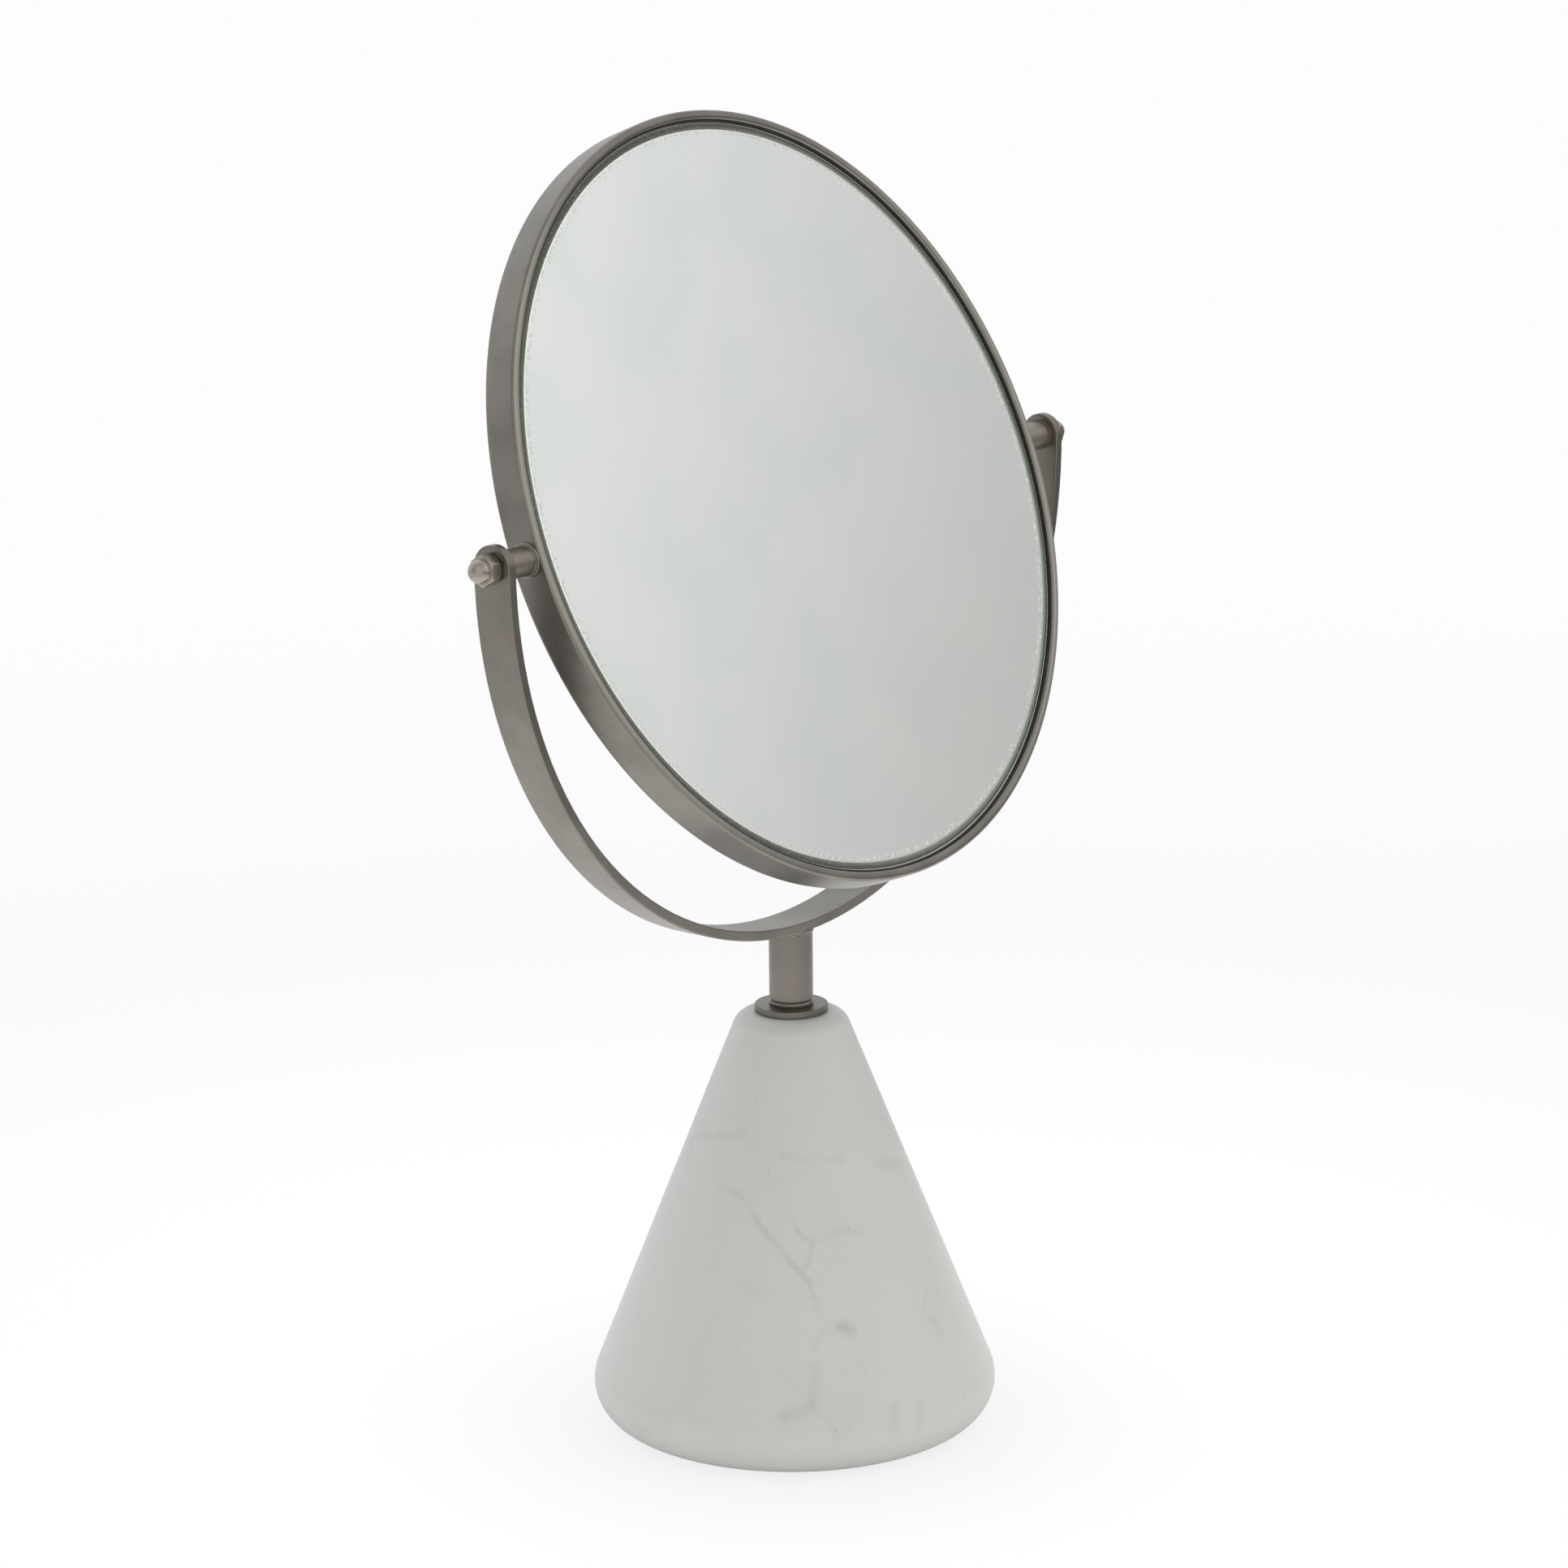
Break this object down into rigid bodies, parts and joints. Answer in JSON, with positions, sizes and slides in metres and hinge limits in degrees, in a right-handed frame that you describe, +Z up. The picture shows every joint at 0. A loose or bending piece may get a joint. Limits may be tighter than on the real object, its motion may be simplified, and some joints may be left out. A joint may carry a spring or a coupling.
{
  "type": "table shaving mirror",
  "caption": "Round two-sided shaving mirror in a flat metal hoop, tilting in a U-shaped yoke on a short swivel stem and a heavy marble cone base.",
  "frame": {"origin": "middle of the foot, on the surface that it stands on", "axes": "+Z up, the mirror's front glass faces -Y and leans back, tilt axis along X"},
  "size_m": [0.2384, 0.1048, 0.339],
  "materials": {
    "marble": "honed",
    "felt": "pressed wool felt",
    "brushed_nickel": "brushed, dark warm nickel",
    "polished_nickel": "smooth satin nickel",
    "zinc_steel": "zinc plated",
    "black_nylon": "moulded",
    "black_gasket": "extruded",
    "mirror_glass": "polished, silvered behind",
    "backing_card": "pressed card"
  },
  "bodies": {
    "base": {"marble_cone": "marble", "base_pad": "felt", "base_washer": "zinc_steel", "collar_plate": "brushed_nickel", "lower_neck_washer": "black_nylon"},
    "yoke": {"yoke": "brushed_nickel", "stem": "brushed_nickel", "neck_ring": "polished_nickel", "upper_neck_washer": "black_nylon", "threaded_rod": "zinc_steel", "base_spring_washer": "zinc_steel", "base_nut": "zinc_steel"},
    "mirror_head": {"mirror_hoop": "brushed_nickel", "front_mirror_glass": "mirror_glass", "rear_mirror_glass": "mirror_glass", "front_glass_gasket": "black_gasket", "rear_glass_gasket": "black_gasket", "glass_spacer_hoop": "black_nylon", "backing_disc": "backing_card", "left_pivot_boss": "brushed_nickel", "left_pivot_stud": "zinc_steel", "left_inner_friction_washer": "black_nylon", "left_outer_friction_washer": "black_nylon", "left_dome_nut": "polished_nickel", "right_pivot_boss": "brushed_nickel", "right_pivot_stud": "zinc_steel", "right_inner_friction_washer": "black_nylon", "right_outer_friction_washer": "black_nylon", "right_dome_nut": "polished_nickel"}
  },
  "joints": [
    {"name": "swivel", "type": "hinge", "parent": "base", "child": "yoke", "pos_m": [0, 0, 0.11245], "axis": [0, 0, 1], "continuous": true},
    {"name": "tilt", "type": "hinge", "parent": "yoke", "child": "mirror_head", "pos_m": [0, 0, 0.2445], "axis": [1, 0, 0], "continuous": true}
  ]
}
